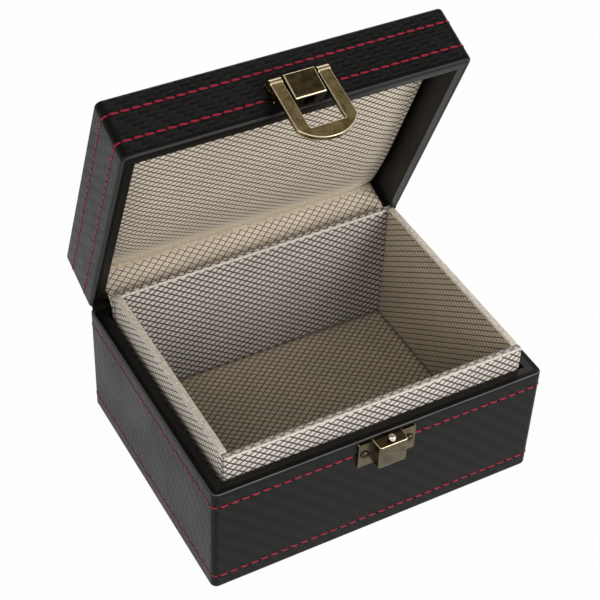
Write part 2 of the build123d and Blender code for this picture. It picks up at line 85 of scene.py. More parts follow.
def ease(t):
    """Smooth step from 0 to 1."""
    return t * t * (3 - 2 * t)


# ---------------------------------------------------------------- camera

PHOTO_SIZE = 600
FOCAL_PX = 1638.2
CAMERA_AZIMUTH = -30.56
CAMERA_ELEVATION = 42.25
CAMERA_ROLL = 2.86
CAMERA_DISTANCE = 0.5864
CAMERA_TARGET = Vector((-0.00013, 0.0104, 0.0590))
CAMERA_NEAR = 0.01
SENSOR_MM = 36.0


def make_camera():
    az, el, roll = map(math.radians, (CAMERA_AZIMUTH, CAMERA_ELEVATION, CAMERA_ROLL))
    back = Vector((math.sin(az) * math.cos(el), -math.cos(az) * math.cos(el), math.sin(el)))
    right = (-back).cross(Vector((0, 0, 1))).normalized()
    up = right.cross(-back)
    right_r = right * math.cos(roll) + up * math.sin(roll)
    up_r = up * math.cos(roll) - right * math.sin(roll)
    data = bpy.data.cameras.new("camera")
    data.lens = FOCAL_PX / PHOTO_SIZE * SENSOR_MM
    data.sensor_width = SENSOR_MM
    data.clip_start = CAMERA_NEAR
    camera = bpy.data.objects.new("camera", data)
    bpy.context.scene.collection.objects.link(camera)
    turn = Matrix((right_r, up_r, back)).transposed().to_4x4()
    camera.matrix_world = Matrix.Translation(CAMERA_TARGET + back * CAMERA_DISTANCE) @ turn
    bpy.context.scene.camera = camera


# ---------------------------------------------------------------- material helper


class Shader:
    """A material under construction, with short calls for the nodes that repeat."""

    def __init__(self, name):
        self.material = bpy.data.materials.new(name)
        self.material.use_nodes = True
        self.tree = self.material.node_tree
        self.tree.nodes.clear()
        self.out = self.tree.nodes.new("ShaderNodeOutputMaterial")
        self.bsdf = self.tree.nodes.new("ShaderNodeBsdfPrincipled")
        self.tree.links.new(self.bsdf.outputs[0], self.out.inputs["Surface"])

    def put(self, socket, value):
        """Link a socket to another socket, or give it a plain value."""
        if isinstance(value, bpy.types.NodeSocket):
            self.tree.links.new(value, socket)
        else:
            socket.default_value = value

    def node(self, kind, inputs=None, output=0, **settings):
        """A new node with its settings and inputs; the answer is one of its outputs."""
        made = self.tree.nodes.new("ShaderNode" + kind)
        for key, value in settings.items():
            setattr(made, key, value)
        for key, value in (inputs or {}).items():
            self.put(made.inputs[key], value)
        return made.outputs[output]

    def math(self, operation, *values):
        return self.node("Math", dict(enumerate(values)), operation=operation)

    def vec(self, operation, a, b, output=0):
        return self.node("VectorMath", {0: a, 1: b}, output, operation=operation)

    def mix(self, factor, a, b):
        """Between two colours."""
        return self.node("Mix", {0: factor, 6: a, 7: b}, 2, data_type="RGBA")

    def blend(self, factor, a, b):
        """Between two numbers."""
        return self.node("Mix", {0: factor, 2: a, 3: b})

    def spread(self, value, low, high, to_low=0.0, to_high=1.0, smooth=True):
        """Map a range of one value to another, held at the ends."""
        keys = {0: value, 1: low, 2: high, 3: to_low, 4: to_high}
        kind = "SMOOTHSTEP" if smooth else "LINEAR"
        return self.node("MapRange", keys, interpolation_type=kind, clamp=True)

    def noise(self, vector, scale, detail=3.0, roughness=0.5):
        keys = {"Vector": vector, "Scale": scale, "Detail": detail, "Roughness": roughness}
        return self.node("TexNoise", keys)

    def bump(self, height, distance, strength):
        return self.node("Bump", {"Height": height, "Distance": distance, "Strength": strength})

    def set(self, **values):
        """Inputs of the principled shader, by name with _ for a space."""
        for key, value in values.items():
            self.put(self.bsdf.inputs[key.replace("_", " ")], value)

    def place(self):
        """Coordinates in metres, which stay with the piece as it moves."""
        return self.node("TexCoord", output=3)

    def normal(self):
        """The direction that the surface looks in, in the piece's own coordinates."""
        return self.node("TexCoord", output=1)

    def closed_place(self, on_lid):
        """Coordinates on the closed box."""
        if not on_lid:
            return self.place()
        keys = {"Vector": self.place(), "Center": tuple(HINGE_AT), "Angle": LID_OPEN}
        return self.node("VectorRotate", keys, rotation_type="X_AXIS")

    def closed_normal(self, on_lid):
        """The surface's direction on the closed box."""
        if not on_lid:
            return self.normal()
        keys = {"Vector": self.normal(), "Angle": LID_OPEN}
        return self.node("VectorRotate", keys, rotation_type="X_AXIS")


def colour(r, g, b):
    """A colour read as screen values from 0 to 255, for a shader."""

    def linear(v):
        v /= 255
        return v / 12.92 if v <= 0.04045 else ((v + 0.055) / 1.055) ** 2.4

    return (linear(r), linear(g), linear(b), 1.0)


def darker(tone, share):
    return tuple(c * share for c in tone[:3]) + (1,)


# ---------------------------------------------------------------- embossed leather

TOW_ACROSS = 1.9 * MM
TOW_UP = 1.83 * MM
TOW_OVER = 2.0  # how many crossings a tow stays on top
TOW_ARCH = 0.5
TOW_RISE = 0.45
TOW_RIBS = 7
RIB_HEIGHT = 0.05
KEEP_POSITIVE = 400.0  # the modulo turns round below zero

PLAIN_RIM = 1.9 * MM
RIM_FADE = (0.75, 1.1)
CORNER_FADE = (0.8, 1.15)
SIDE_EMBOSS = 0.6
EMBOSS_STRENGTH = 0.9
CREASE_AT = 3.1 * MM
CREASE_HALF = 0.4 * MM
CREASE_DEPTH = 0.8
GRAIN_SCALE = 3500
GRAIN_HEIGHT = 0.12
CLOUD_SCALE = 28
CLOUD_RANGE = (0.3, 0.7)

LEATHER_DARK = ((0.0027, 0.0026, 0.0025, 1), (0.0041, 0.004, 0.0039, 1))
LEATHER_PALE = ((0.0074, 0.0072, 0.007, 1), (0.0104, 0.0102, 0.0099, 1))
LEATHER_ROUGH = (0.38, 0.47)
LEATHER_SPECULAR = 0.11
TOW_GLOSS = -0.06
# a painted highlight along the small rounds of the cover's level edges
EDGE_HIGHLIGHT_TONE = (0.105, 0.104, 0.1, 1)
EDGE_HIGHLIGHT_FROM = (0.45, 0.7)
EDGE_HIGHLIGHT_TO = (0.93, 0.98)
EDGE_HIGHLIGHT_LEAST = 0.55

# top is where the embossed top face lies, out of reach on the base, which has none
BASE_LEATHER = {
    "name": "embossed_leather_base",
    "top": BASE_TOP + 1.0,
    "rim": BASE_TOP,
    "rim_side": -1.0,
    "emboss": 0.075 * MM,
    "plain_corner": 1.4 * MM,
    "front_emboss": 0.42,
    "edge_highlight": 1.0,
}
LID_LEATHER = {
    "name": "embossed_leather_lid",
    "top": LID_TOP,
    "rim": LID_RIM,
    "rim_side": 1.0,
    "emboss": 0.13 * MM,
    "plain_corner": 2.4 * MM,
    "front_emboss": 1.0,
    "edge_highlight": 0.22,
}


def face_coordinates(sh, place, cover):
    """Coordinates along whichever face of the box a point is on.

    With them come how far the emboss reaches there, and how far off the nearest upright corner is.
    """
    x, y, z = (sh.node("SeparateXYZ", {0: place}, i) for i in range(3))
    over_x = sh.math("SUBTRACT", sh.math("ABSOLUTE", x), HALF_X)
    over_y = sh.math("SUBTRACT", sh.math("ABSOLUTE", y), HALF_Y)
    over_z = sh.math("SUBTRACT", z, cover["top"])
    on_side = sh.math("GREATER_THAN", over_x, over_y)
    on_top = sh.math("GREATER_THAN", over_z, sh.math("MAXIMUM", over_x, over_y))
    quarter = HALF_X + HALF_Y
    round_side = sh.math("MULTIPLY", sh.math("ADD", y, quarter), sh.math("SIGN", x))
    at_back = sh.math("GREATER_THAN", y, 0.0)
    round_front = sh.blend(at_back, x, sh.math("SUBTRACT", 2 * quarter, x))
    across = sh.blend(on_top, sh.blend(on_side, round_front, round_side), x)
    up = sh.blend(on_top, z, y)
    from_corner = sh.math("MULTIPLY", sh.math("MINIMUM", over_x, over_y), -1.0)
    from_rim = sh.math("MULTIPLY", sh.math("SUBTRACT", z, cover["rim"]), cover["rim_side"])
    at_corner = sh.spread(from_corner, *(cover["plain_corner"] * share for share in CORNER_FADE))
    at_rim = sh.spread(from_rim, *(PLAIN_RIM * share for share in RIM_FADE))
    flat = sh.math("MULTIPLY", at_corner, at_rim)
    reach = sh.math("MULTIPLY", flat, sh.blend(on_side, cover["front_emboss"], SIDE_EMBOSS))
    return across, up, reach, from_corner


def painted_edge_highlight(sh, most, on_lid, cloudy):
    """How far a painted highlight lightens the cover, along the small rounds of its level edges."""
    up = sh.node("SeparateXYZ", {0: sh.closed_normal(on_lid)}, 2)
    level = sh.math("ABSOLUTE", up)
    starts = sh.spread(level, *EDGE_HIGHLIGHT_FROM)
    rounds = sh.math("MULTIPLY", starts, sh.spread(level, *EDGE_HIGHLIGHT_TO, 1.0, 0.0))
    uneven = sh.spread(cloudy, *CLOUD_RANGE, EDGE_HIGHLIGHT_LEAST * most, most)
    return sh.math("MULTIPLY", rounds, uneven)


def twill(sh, across, up):
    """Height of a two-over-two twill of ribbed tows, and where the upright tows are on top."""
    u = sh.math("DIVIDE", across, TOW_ACROSS)
    v = sh.math("DIVIDE", up, TOW_UP)
    heights = []
    tops = []
    for mine, other, shift in ((u, v, 0.0), (v, u, TOW_OVER)):
        within = sh.math("FRACT", mine)
        row = sh.math("FLOOR", mine)
        arch = sh.math("SINE", sh.math("MULTIPLY", within, math.pi))
        along = sh.math("ADD", sh.math("ADD", other, row), shift + KEEP_POSITIVE)
        phase = sh.math("MODULO", along, 2 * TOW_OVER)
        over = sh.math("LESS_THAN", phase, TOW_OVER)
        held = sh.math("MINIMUM", phase, TOW_OVER)
        rise = sh.math("SINE", sh.math("MULTIPLY", held, math.pi / TOW_OVER))
        arched = sh.math("POWER", arch, TOW_ARCH)
        profile = sh.math("MULTIPLY", arched, sh.math("POWER", rise, TOW_RISE))
        ribs = sh.math("SINE", sh.math("MULTIPLY", within, 2 * math.pi * TOW_RIBS))
        ribbed = sh.math("MULTIPLY_ADD", ribs, RIB_HEIGHT, profile)
        heights.append(sh.math("MULTIPLY", ribbed, over))
        tops.append(sh.math("MULTIPLY", profile, over))
    upright = sh.spread(sh.math("SUBTRACT", tops[0], tops[1]), -0.5, 0.5)
    return sh.math("MAXIMUM", heights[0], heights[1]), upright


def embossed_leather(on_lid):
    cover = LID_LEATHER if on_lid else BASE_LEATHER
    sh = Shader(cover["name"])
    place = sh.closed_place(on_lid)
    across, up, reach, from_corner = face_coordinates(sh, place, cover)
    weave, upright = twill(sh, across, up)
    grain = sh.noise(place, GRAIN_SCALE, 2.0, 0.6)
    cloudy = sh.noise(place, CLOUD_SCALE, 3.0, 0.55)
    shade = sh.spread(cloudy, *CLOUD_RANGE)
    from_crease = sh.math("ABSOLUTE", sh.math("SUBTRACT", from_corner, CREASE_AT))
    crease = sh.math("MULTIPLY", sh.spread(from_crease, 0.0, CREASE_HALF), CREASE_DEPTH)
    relief = sh.math("MULTIPLY", weave, reach)
    height = sh.math("ADD", sh.math("MULTIPLY_ADD", grain, GRAIN_HEIGHT, relief), crease)
    dark = sh.mix(shade, *LEATHER_DARK)
    pale = sh.mix(shade, *LEATHER_PALE)
    on_tow = sh.math("MULTIPLY", upright, reach)
    # painted highlight on the small rounds of the level edges
    highlight_share = painted_edge_highlight(sh, cover["edge_highlight"], on_lid, cloudy)
    sh.set(Base_Color=sh.mix(highlight_share, sh.mix(on_tow, dark, pale), EDGE_HIGHLIGHT_TONE))
    rough = sh.spread(sh.math("ADD", grain, shade), 0.4, 1.6, *LEATHER_ROUGH)
    sh.set(Roughness=sh.math("MULTIPLY_ADD", on_tow, TOW_GLOSS, rough))
    sh.set(Specular_IOR_Level=LEATHER_SPECULAR)
    sh.set(Normal=sh.bump(height, cover["emboss"], EMBOSS_STRENGTH))
    return sh.material


# ---------------------------------------------------------------- smooth leather

LINING_TONES = ((0.0035, 0.003, 0.0024, 1), (0.006, 0.0052, 0.0043, 1))
LINING_GRAIN = 2600
LINING_RELIEF = 0.03 * MM
LINING_STREAKS = 40
LINING_STRETCH = (1.0, 1.0, 6.0)
LINING_ROUGH = (0.36, 0.46)
LINING_SPECULAR = 0.27


def smooth_leather(on_lid):
    sh = Shader("smooth_leather_lid" if on_lid else "smooth_leather_base")
    place = sh.closed_place(on_lid)
    grain = sh.noise(place, LINING_GRAIN, 4.0, 0.6)
    streak = sh.noise(sh.vec("MULTIPLY", place, LINING_STRETCH), LINING_STREAKS)
    sh.set(Base_Color=sh.mix(streak, *LINING_TONES))
    sh.set(Roughness=sh.spread(streak, 0.3, 0.7, *LINING_ROUGH))
    sh.set(Specular_IOR_Level=LINING_SPECULAR)
    sh.set(Normal=sh.bump(grain, LINING_RELIEF, 0.5))
    return sh.material


# ---------------------------------------------------------------- fabric and thread

DIAMOND_WIDE = 3.64 * MM
DIAMOND_TALL = 2.71 * MM
LINE_DARK = 0.095
LINE_FADE = 0.2
LINE_WOBBLE = 0.12
WOBBLE_SCALE = 500
CROSSING_SHADE = 0.45
CELL_SHADE = 0.8
CELL_MIDDLE = 0.16
PUFF_REACH = 0.42
YARN_WAVE = {"Scale": 720.0, "Distortion": 1.2}
YARN_HEIGHT = 0.25
YARN_SHARE = 0.2
SOFT_SCALE = 60
FADE_RANGE = (0.2, 1.1)
MOTTLE = 0.45
MOTTLE_SCALE = 950
MOTTLE_RANGE = (0.35, 0.65)
BARE_RANGE = (0.35, 1.0)
MIDDLE_RANGE = (0.26, 0.48)
CLOTH_RELIEF = 0.2 * MM
CLOTH_ROUGH = (0.5, 0.8)
CLOTH_SHEEN = {"Sheen_Weight": 0.12, "Sheen_Roughness": 0.4, "Sheen_Tint": (1.0, 0.86, 0.68, 1.0)}
PLAIN_PUFF = 0.25

# the liner's pale colour where its grid is lost, along the top ridges and over the top faces: a
# painted highlight
PALE_RIDGE_HIGHLIGHT = colour(226, 217, 203)
TAN_EDGE = colour(210, 197, 174)
# the colours of each cloth's cells, of its lines and where they are lost, and how strong and wide
# its lines are
CLOTHS = {
    "ripstop_liner": (colour(208, 201, 194), colour(38, 31, 25), PALE_RIDGE_HIGHLIGHT, 0.96, 1.0),
    # a shaded copy of the liner's cloth, darker and warmer: painted shade for the right wall and
    # the floor
    "ripstop_side_shaded": (colour(206, 193, 171), colour(62, 50, 36), PALE_RIDGE_HIGHLIGHT, 0.84, 0.8),
    # a lit copy of the liner's cloth, paler: painted light for the left board
    "ripstop_left_lit": (colour(236, 229, 217), colour(66, 57, 47), PALE_RIDGE_HIGHLIGHT, 0.9, 0.9),
    "ripstop_pad": (colour(216, 206, 189), colour(48, 40, 31), TAN_EDGE, 0.96, 0.87),
    "ripstop_strip": (colour(214, 203, 187), colour(84, 66, 48), TAN_EDGE, 0.9, 0.62),
}


def diamond_lines(sh, u, v, wobble, width):
    """The two sets of slanting lines: the distance from each, and how dark each is."""
    a = sh.math("DIVIDE", u, DIAMOND_WIDE)
    b = sh.math("DIVIDE", v, DIAMOND_TALL)
    away = []
    lines = []
    for sign in (1.0, -1.0):
        s = sh.math("ADD", sh.math("MULTIPLY_ADD", b, sign, a), wobble)
        from_half = sh.math("ABSOLUTE", sh.math("SUBTRACT", sh.math("FRACT", s), 0.5))
        off = sh.math("SUBTRACT", 0.5, from_half)
        away.append(off)
        lines.append(sh.spread(off, LINE_DARK * width, LINE_FADE * width, 1.0, 0.0))
    return away, lines


def ripstop(name):
    """Pale metallised cloth with a dark diamond grid.

    The mesh brings its cloth coordinates, whose third number is how far the grid is lost there.
    """
    cell, line, bare, strength, width = CLOTHS[name]
    sh = Shader(name)
    cloth = sh.node("Attribute", output=1, attribute_name="cloth")
    u, v, plain = (sh.node("SeparateXYZ", {0: cloth}, i) for i in range(3))
    uneven = sh.math("SUBTRACT", sh.noise(cloth, WOBBLE_SCALE, 2.0), 0.5)
    wobble = sh.math("MULTIPLY", uneven, LINE_WOBBLE)
    away, lines = diamond_lines(sh, u, v, wobble, width)
    edge = sh.math("MINIMUM", away[0], away[1])
    kept = sh.spread(plain, 0.0, 1.0, strength, 0.0)
    is_line = sh.math("MULTIPLY", sh.math("MAXIMUM", lines[0], lines[1]), kept)
    crossing = sh.math("MINIMUM", lines[0], lines[1])
    puff = sh.math("POWER", sh.spread(edge, 0.0, PUFF_REACH, smooth=False), 0.5)
    yarn = {"Vector": cloth, **YARN_WAVE}
    weft = sh.math("MULTIPLY", sh.node("TexWave", yarn), YARN_HEIGHT)
    warp = sh.node("TexWave", yarn, bands_direction="Y")
    weave = sh.math("MULTIPLY_ADD", warp, YARN_HEIGHT, weft)
    fade = sh.spread(sh.math("ADD", weave, sh.noise(cloth, SOFT_SCALE)), *FADE_RANGE)
    speckle = sh.noise(cloth, MOTTLE_SCALE, 3.0, 0.7)
    flecks = sh.spread(speckle, *MOTTLE_RANGE, MOTTLE, 0.0)
    woven = sh.mix(fade, darker(cell, CELL_SHADE), cell)
    ground = sh.mix(sh.spread(plain, *BARE_RANGE), woven, bare)
    lit = sh.mix(sh.math("MULTIPLY", flecks, plain), ground, line)
    patterned = sh.math("SUBTRACT", 1.0, plain)
    inside = sh.spread(edge, *MIDDLE_RANGE, 0.0, CELL_MIDDLE)
    middle = sh.math("MULTIPLY", inside, patterned)
    body = sh.mix(middle, lit, line)
    deep = sh.mix(crossing, line, darker(line, CROSSING_SHADE))
    sh.set(Base_Color=sh.mix(is_line, body, deep))
    sh.set(Roughness=sh.spread(is_line, 0, 1, *CLOTH_ROUGH, False), **CLOTH_SHEEN)
    rise = sh.math("MULTIPLY", puff, sh.spread(plain, 0.0, 1.0, 1.0, PLAIN_PUFF))
    height = sh.math("MULTIPLY_ADD", weave, YARN_SHARE, rise)
    sh.set(Normal=sh.bump(height, CLOTH_RELIEF, 0.7))
    return sh.material


THREAD_TONES = (colour(138, 0, 34), colour(168, 12, 52))
THREAD_SHADOW = colour(60, 0, 14)
THREAD_FUZZ = 9000
THREAD_TONE_SCALE = 700
THREAD_FACING = (0.3, 0.95)
THREAD_RELIEF = 0.04 * MM


def stitch_thread():
    """Crimson thread with painted shade where its mesh says so: on its side towards the rim, and
    where it turns in to the leather.
    """
    sh = Shader("red_thread")
    place = sh.place()
    fuzz = sh.noise(place, THREAD_FUZZ, 2.0)
    tone = sh.noise(place, THREAD_TONE_SCALE, 2.0)
    outward = sh.node("Attribute", output=2, attribute_name="outward")
    lit = sh.mix(tone, *THREAD_TONES)
    sh.set(Base_Color=sh.mix(sh.spread(outward, *THREAD_FACING), THREAD_SHADOW, lit))
    sh.set(Roughness=0.55, Sheen_Weight=0.05, Specular_IOR_Level=0.2)
    sh.set(Normal=sh.bump(fuzz, THREAD_RELIEF, 0.6))
    return sh.material


# ---------------------------------------------------------------- metal

BRONZE_TONES = {
    "bronze_loop": (colour(106, 92, 60), colour(140, 123, 86)),
    "bronze_block": (colour(72, 61, 41), colour(104, 90, 62)),
    "bronze_catch": (colour(84, 77, 61), colour(110, 101, 81)),
    "bronze_leaf": (colour(84, 74, 52), colour(118, 105, 78)),
    "bronze_small": (colour(56, 49, 37), colour(84, 74, 57)),
}
BRONZE_PATCHES = 330
BRONZE_FINE = 2400
BRONZE_FINE_SHARE = 0.35
BRONZE_TONE_RANGE = (0.45, 0.9)
BRONZE_BRUSH = 4200
BRUSH_STRETCH = (0.06, 1.0, 1.0)
BRONZE_ROUGH = (0.24, 0.36)
BRONZE_RELIEF = 0.012 * MM
BRONZE_SHADOW = colour(52, 42, 28)
# pale cream on the small rounds: partly wear, partly a painted highlight
BRONZE_WEAR_AND_HIGHLIGHT = colour(214, 200, 166)
WEAR_AND_HIGHLIGHT_METALLIC = 0.5
WEAR_AND_HIGHLIGHT_LEAST = 0.75
SHADOW_FACING = (0.6, 0.85)
ROUND_FACING = (0.965, 0.99)
WALL_FACING = (0.08, 0.2)
STUD_TONES = (colour(190, 180, 160), colour(225, 218, 205))
STUD_STRETCH = (1.0, 1.0, 5.0)
STUD_SCRATCH = 3000
STUD_ROUGH = (0.12, 0.24)


def bronze(name, axes=(), walls=False, shaded_side=None):
    """Antique bronze, dark in the flats, pale where its small rounds turn: wear and painted
    highlight.

    axes are the directions that the part's flat faces look in. With walls, everything at right
    angles to them is flat too. Faces that look towards the direction given last get painted shade.
    """
    sh = Shader(name)
    place = sh.place()
    normal = sh.normal()
    patches = sh.noise(place, BRONZE_PATCHES, 4.0, 0.6)
    fine = sh.noise(place, BRONZE_FINE, 3.0, 0.6)
    brush = sh.noise(sh.vec("MULTIPLY", place, BRUSH_STRETCH), BRONZE_BRUSH, 2.0)
    patched = sh.math("MULTIPLY_ADD", fine, BRONZE_FINE_SHARE, patches)
    body = sh.mix(sh.spread(patched, *BRONZE_TONE_RANGE), *BRONZE_TONES[name])
    metallic = 1.0
    # faces that look towards this side get painted shade
    if shaded_side is not None:
        look = sh.vec("DOT_PRODUCT", normal, tuple(shaded_side), 1)
        body = sh.mix(sh.spread(look, *SHADOW_FACING), body, BRONZE_SHADOW)
    if axes:
        looks = [sh.vec("DOT_PRODUCT", normal, tuple(axis), 1) for axis in axes]
        facing = [sh.math("ABSOLUTE", look) for look in looks]
        most = facing[0]
        for other in facing[1:]:
            most = sh.math("MAXIMUM", most, other)
        edge = sh.spread(most, *ROUND_FACING, 1.0, 0.0)
        if walls:
            edge = sh.math("MULTIPLY", edge, sh.spread(most, *WALL_FACING))
        # the cream on the rounds is partly wear and partly a painted highlight
        wear_and_highlight = sh.math("MULTIPLY", edge, sh.spread(fine, 0.25, 0.6, WEAR_AND_HIGHLIGHT_LEAST, 1.0))
        body = sh.mix(wear_and_highlight, body, BRONZE_WEAR_AND_HIGHLIGHT)
        metallic = sh.spread(wear_and_highlight, 0.0, 1.0, 1.0, WEAR_AND_HIGHLIGHT_METALLIC)
    sh.set(Base_Color=body, Metallic=metallic)
    sh.set(Roughness=sh.spread(sh.math("ADD", patches, brush), 0.7, 1.3, *BRONZE_ROUGH))
    sh.set(Normal=sh.bump(sh.math("ADD", fine, brush), BRONZE_RELIEF, 0.5))
    return sh.material


def polished_stud():
    sh = Shader("polished_stud")
    scratch = sh.noise(sh.vec("MULTIPLY", sh.place(), STUD_STRETCH), STUD_SCRATCH)
    sh.set(Base_Color=sh.mix(scratch, *STUD_TONES), Metallic=1.0)
    sh.set(Roughness=sh.spread(scratch, 0.3, 0.7, *STUD_ROUGH))
    return sh.material


# ---------------------------------------------------------------- felt, card and board

STUFF_RELIEF = 0.05 * MM
STUFF_ROUGH_SPREAD = 0.08
# two tones of each, the scale of its grain, and its roughness
STUFFS = {
    "felt": ((0.01, 0.01, 0.01, 1), (0.03, 0.03, 0.03, 1), 2500, 0.9),
    "grey_card": ((0.28, 0.26, 0.22, 1), (0.38, 0.35, 0.3, 1), 1500, 0.85),
    "fibreboard": ((0.3, 0.2, 0.12, 1), (0.42, 0.3, 0.19, 1), 1800, 0.8),
}


def plain_stuff(name):
    """Felt, card or board: two tones of one colour with a fine grain."""
    low, high, scale, rough = STUFFS[name]
    sh = Shader(name)
    fine = sh.noise(sh.place(), scale, 4.0, 0.65)
    sh.set(Base_Color=sh.mix(sh.spread(fine, 0.3, 0.7), low, high))
    smoother, rougher = rough - STUFF_ROUGH_SPREAD, rough + STUFF_ROUGH_SPREAD
    sh.set(Roughness=sh.spread(fine, 0.2, 0.8, smoother, rougher))
    sh.set(Normal=sh.bump(fine, STUFF_RELIEF, 0.6))
    return sh.material


def give(node_names, material):
    """Put a material on nodes of the frame."""
    for name in node_names:
        data = NODES[name].data
        data.materials.clear()
        data.materials.append(material)


# ---------------------------------------------------------------- mesh helpers


def make_object(name, verts, faces, material, smooth=True, cloth=None):
    mesh = bpy.data.meshes.new(name)
    mesh.from_pydata([tuple(v) for v in verts], [], faces)
    mesh.validate()
    for poly in mesh.polygons:
        poly.use_smooth = smooth
    if cloth is not None:
        attribute = mesh.attributes.new("cloth", "FLOAT_VECTOR", "POINT")
        attribute.data.foreach_set("vector", np.asarray(cloth, np.float32).ravel())
    mesh.materials.append(material)
    made = bpy.data.objects.new(name, mesh)
    bpy.context.scene.collection.objects.link(made)
    return made


def normals_out(piece):
    mesh = bmesh.new()
    mesh.from_mesh(piece.data)
    bmesh.ops.recalc_face_normals(mesh, faces=mesh.faces)
    mesh.to_mesh(piece.data)
    mesh.free()


def box_grid(sizes, steps):
    """Points and faces of a box surface in even cells.

    sizes are the box's three lengths, and steps the lengths of a cell's sides.
    """
    counts = [max(1, round(size / step)) for size, step in zip(sizes, steps)]
    index = {}
    points = []
    faces = []

    def vertex(i, j, k):
        key = (i, j, k)
        if key not in index:
            index[key] = len(points)
            points.append([c / n - 0.5 for c, n in zip(key, counts)])
        return index[key]

    for axis in range(3):
        a, b = (axis + 1) % 3, (axis + 2) % 3
        for end in (0, counts[axis]):
            for i in range(counts[a]):
                for j in range(counts[b]):
                    ring = []
                    for di, dj in ((0, 0), (1, 0), (1, 1), (0, 1)):
                        at = [0, 0, 0]
                        at[axis], at[a], at[b] = end, i + di, j + dj
                        ring.append(vertex(*at))
                    faces.append(ring if end else ring[::-1])
    return np.array(points) * np.array(sizes), faces


def round_box(points, sizes, radius_at):
    """Pull the points of a box surface in to round edges; radius_at gives the radius at a point."""
    half = np.array(sizes) / 2
    out = points.copy()
    for n, p in enumerate(points):
        radius = radius_at(p)
        core = np.clip(p, -(half - radius), half - radius)
        away = p - core
        length = np.linalg.norm(away)
        if length > ROUNDING and np.count_nonzero(np.abs(away) > ROUNDING) > 1:
            out[n] = core + away / length * radius
    return out


def soft_wave(p, scale, seed):
    """A small smooth random number for a point."""
    return noise.noise(Vector(p) * scale + Vector((seed, seed * 1.7, seed * 0.3)))


def turned_cloth(cloth, degrees, stretch=1.0):
    """Turn the weave a little, as the cloth was cut and glued slightly off square."""
    cos, sin = math.cos(math.radians(degrees)), math.sin(math.radians(degrees))
    u, v, plain = np.asarray(cloth).T
    v = v * stretch
    return np.stack([u * cos + v * sin, v * cos - u * sin, plain], 1)


# ---------------------------------------------------------------- liner

LINER_ALONG = {"front": 0, "back": 0, "left": 1, "right": 1}
LINER_STEP = 1.3 * MM
LINER_FINE = 0.4 * MM
LINER_CROWD = 1.6
LINER_R = 0.65 * MM
LINER_LOW_R = 0.2 * MM
LINER_SWELL = 0.09 * MM
LINER_SWELL_SCALE = 55.0
LINER_SWELL_SEED = 3.0
LINER_CALM = 3 * MM
LINER_SEAM = 0.2 * MM
PLAIN_BELOW = 0.5 * MM
PLAIN_RIDGE = 0.95 * MM
PLAIN_TOP = {"front": 0.34, "back": 0.15, "left": 0.88, "right": 0.88}
CLOTH_TURN = (-1.7, 1.9)
CLOTH_STRETCH = (1.0, 1.047)

FLOOR_STEP = LINER_STEP * 1.4
FLOOR_R = 0.3 * MM
FLOOR_SWELL_SCALE = 50.0
FLOOR_SWELL_SEED = 9.0


def liner_panel(side, material):
    """One fabric-covered board of the tray, with its cloth carried over the top edge."""
    along = LINER_ALONG[side]
    thin = 1 - along
    node = f"liner_{side}_fabric"
    low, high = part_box(node)
    if along == 1:
        low.y += LINER_SEAM
        high.y -= LINER_SEAM
    size = high - low
    middle = (low + high) / 2
    outward = 1.0 if middle[thin] > 0 else -1.0
    steps = [LINER_STEP] * 3
    steps[thin] = LINER_FINE
    points, faces = box_grid(size, steps)
    # crowd the rows towards the top edge, where the cloth turns over
    low_share = 0.5 - points[:, 2] / size.z
    points[:, 2] = size.z * (0.5 - low_share ** LINER_CROWD)
    rounded = round_box(points, size, lambda p: LINER_R if p[2] > 0 else LINER_LOW_R)
    cloth = np.zeros((len(points), 3))
    for n, p in enumerate(points):
        depth = size[thin] / 2 - outward * p[thin]
        drop = size.z / 2 - p[2]
        face = -1.0 if depth < size[thin] / 2 else 1.0
        from_ridge = drop + (p[1] + size.y / 2 if along == 0 else 0.0)
        # plain is high along the top ridge and over the top face, where the grid fades and the
        # cloth takes a painted highlight
        plain = 1.0 - min(1.0, from_ridge / PLAIN_RIDGE)
        if drop < PLAIN_BELOW:
            plain = max(plain, PLAIN_TOP[side])
        cloth[n] = (p[along], depth + face * drop, plain)
        if along == 0 and abs(p[0]) > size.x / 2 - TINY:
            cloth[n] = (math.copysign(size.x / 2 + depth, p[0]), -drop, plain)
    world = rounded + np.array(middle)
    for n, p in enumerate(points):
        on_face = abs(p[thin]) > size[thin] / 2 - TINY
        if on_face and abs(p[along]) < size[along] / 2 - LINER_CALM:
            push = soft_wave(world[n], LINER_SWELL_SCALE, LINER_SWELL_SEED + along)
            world[n][thin] += math.copysign(1.0, p[thin]) * (LINER_SWELL * push)
    cloth = turned_cloth(cloth, CLOTH_TURN[along], CLOTH_STRETCH[along])
    piece = make_object(f"liner_{side}_cloth", world, faces, material, cloth=cloth)
    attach(piece, "base")
    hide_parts(node)


def liner_floor(material):
    low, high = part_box("liner_floor_fabric")
    size = high - low
    middle = (low + high) / 2
    points, faces = box_grid(size, [FLOOR_STEP] * 3)
    world = round_box(points, size, lambda p: FLOOR_R) + np.array(middle)
    for n, p in enumerate(world):
        if points[n][2] > 0:
            world[n][2] += LINER_SWELL * soft_wave(p, FLOOR_SWELL_SCALE, FLOOR_SWELL_SEED)
    cloth = np.array([(p[0], p[1], 0.0) for p in points])
    piece = make_object("liner_floor_cloth", world, faces, material, cloth=cloth)
    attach(piece, "base")
    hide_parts("liner_floor_fabric")


# ---------------------------------------------------------------- lid pad

PAD_R = 4.2 * MM
PAD_BACK_R = 0.4 * MM
PAD_ROLLED = 0.25
PAD_STEP = 1.5 * MM
PAD_DOME = 1.6 * MM
PAD_DOME_AT = 18 * MM
PAD_CALM = 14 * MM
PAD_HINGE_BEND = 170 * MM
PAD_SWELL = 0.1 * MM
PAD_SWELL_SCALE = 45.0
PAD_SWELL_SEED = 5.0
PAD_FADE = (15 * MM, 2.5 * MM)
PAD_PLAIN = 0.8
PAD_TURN = 1.2


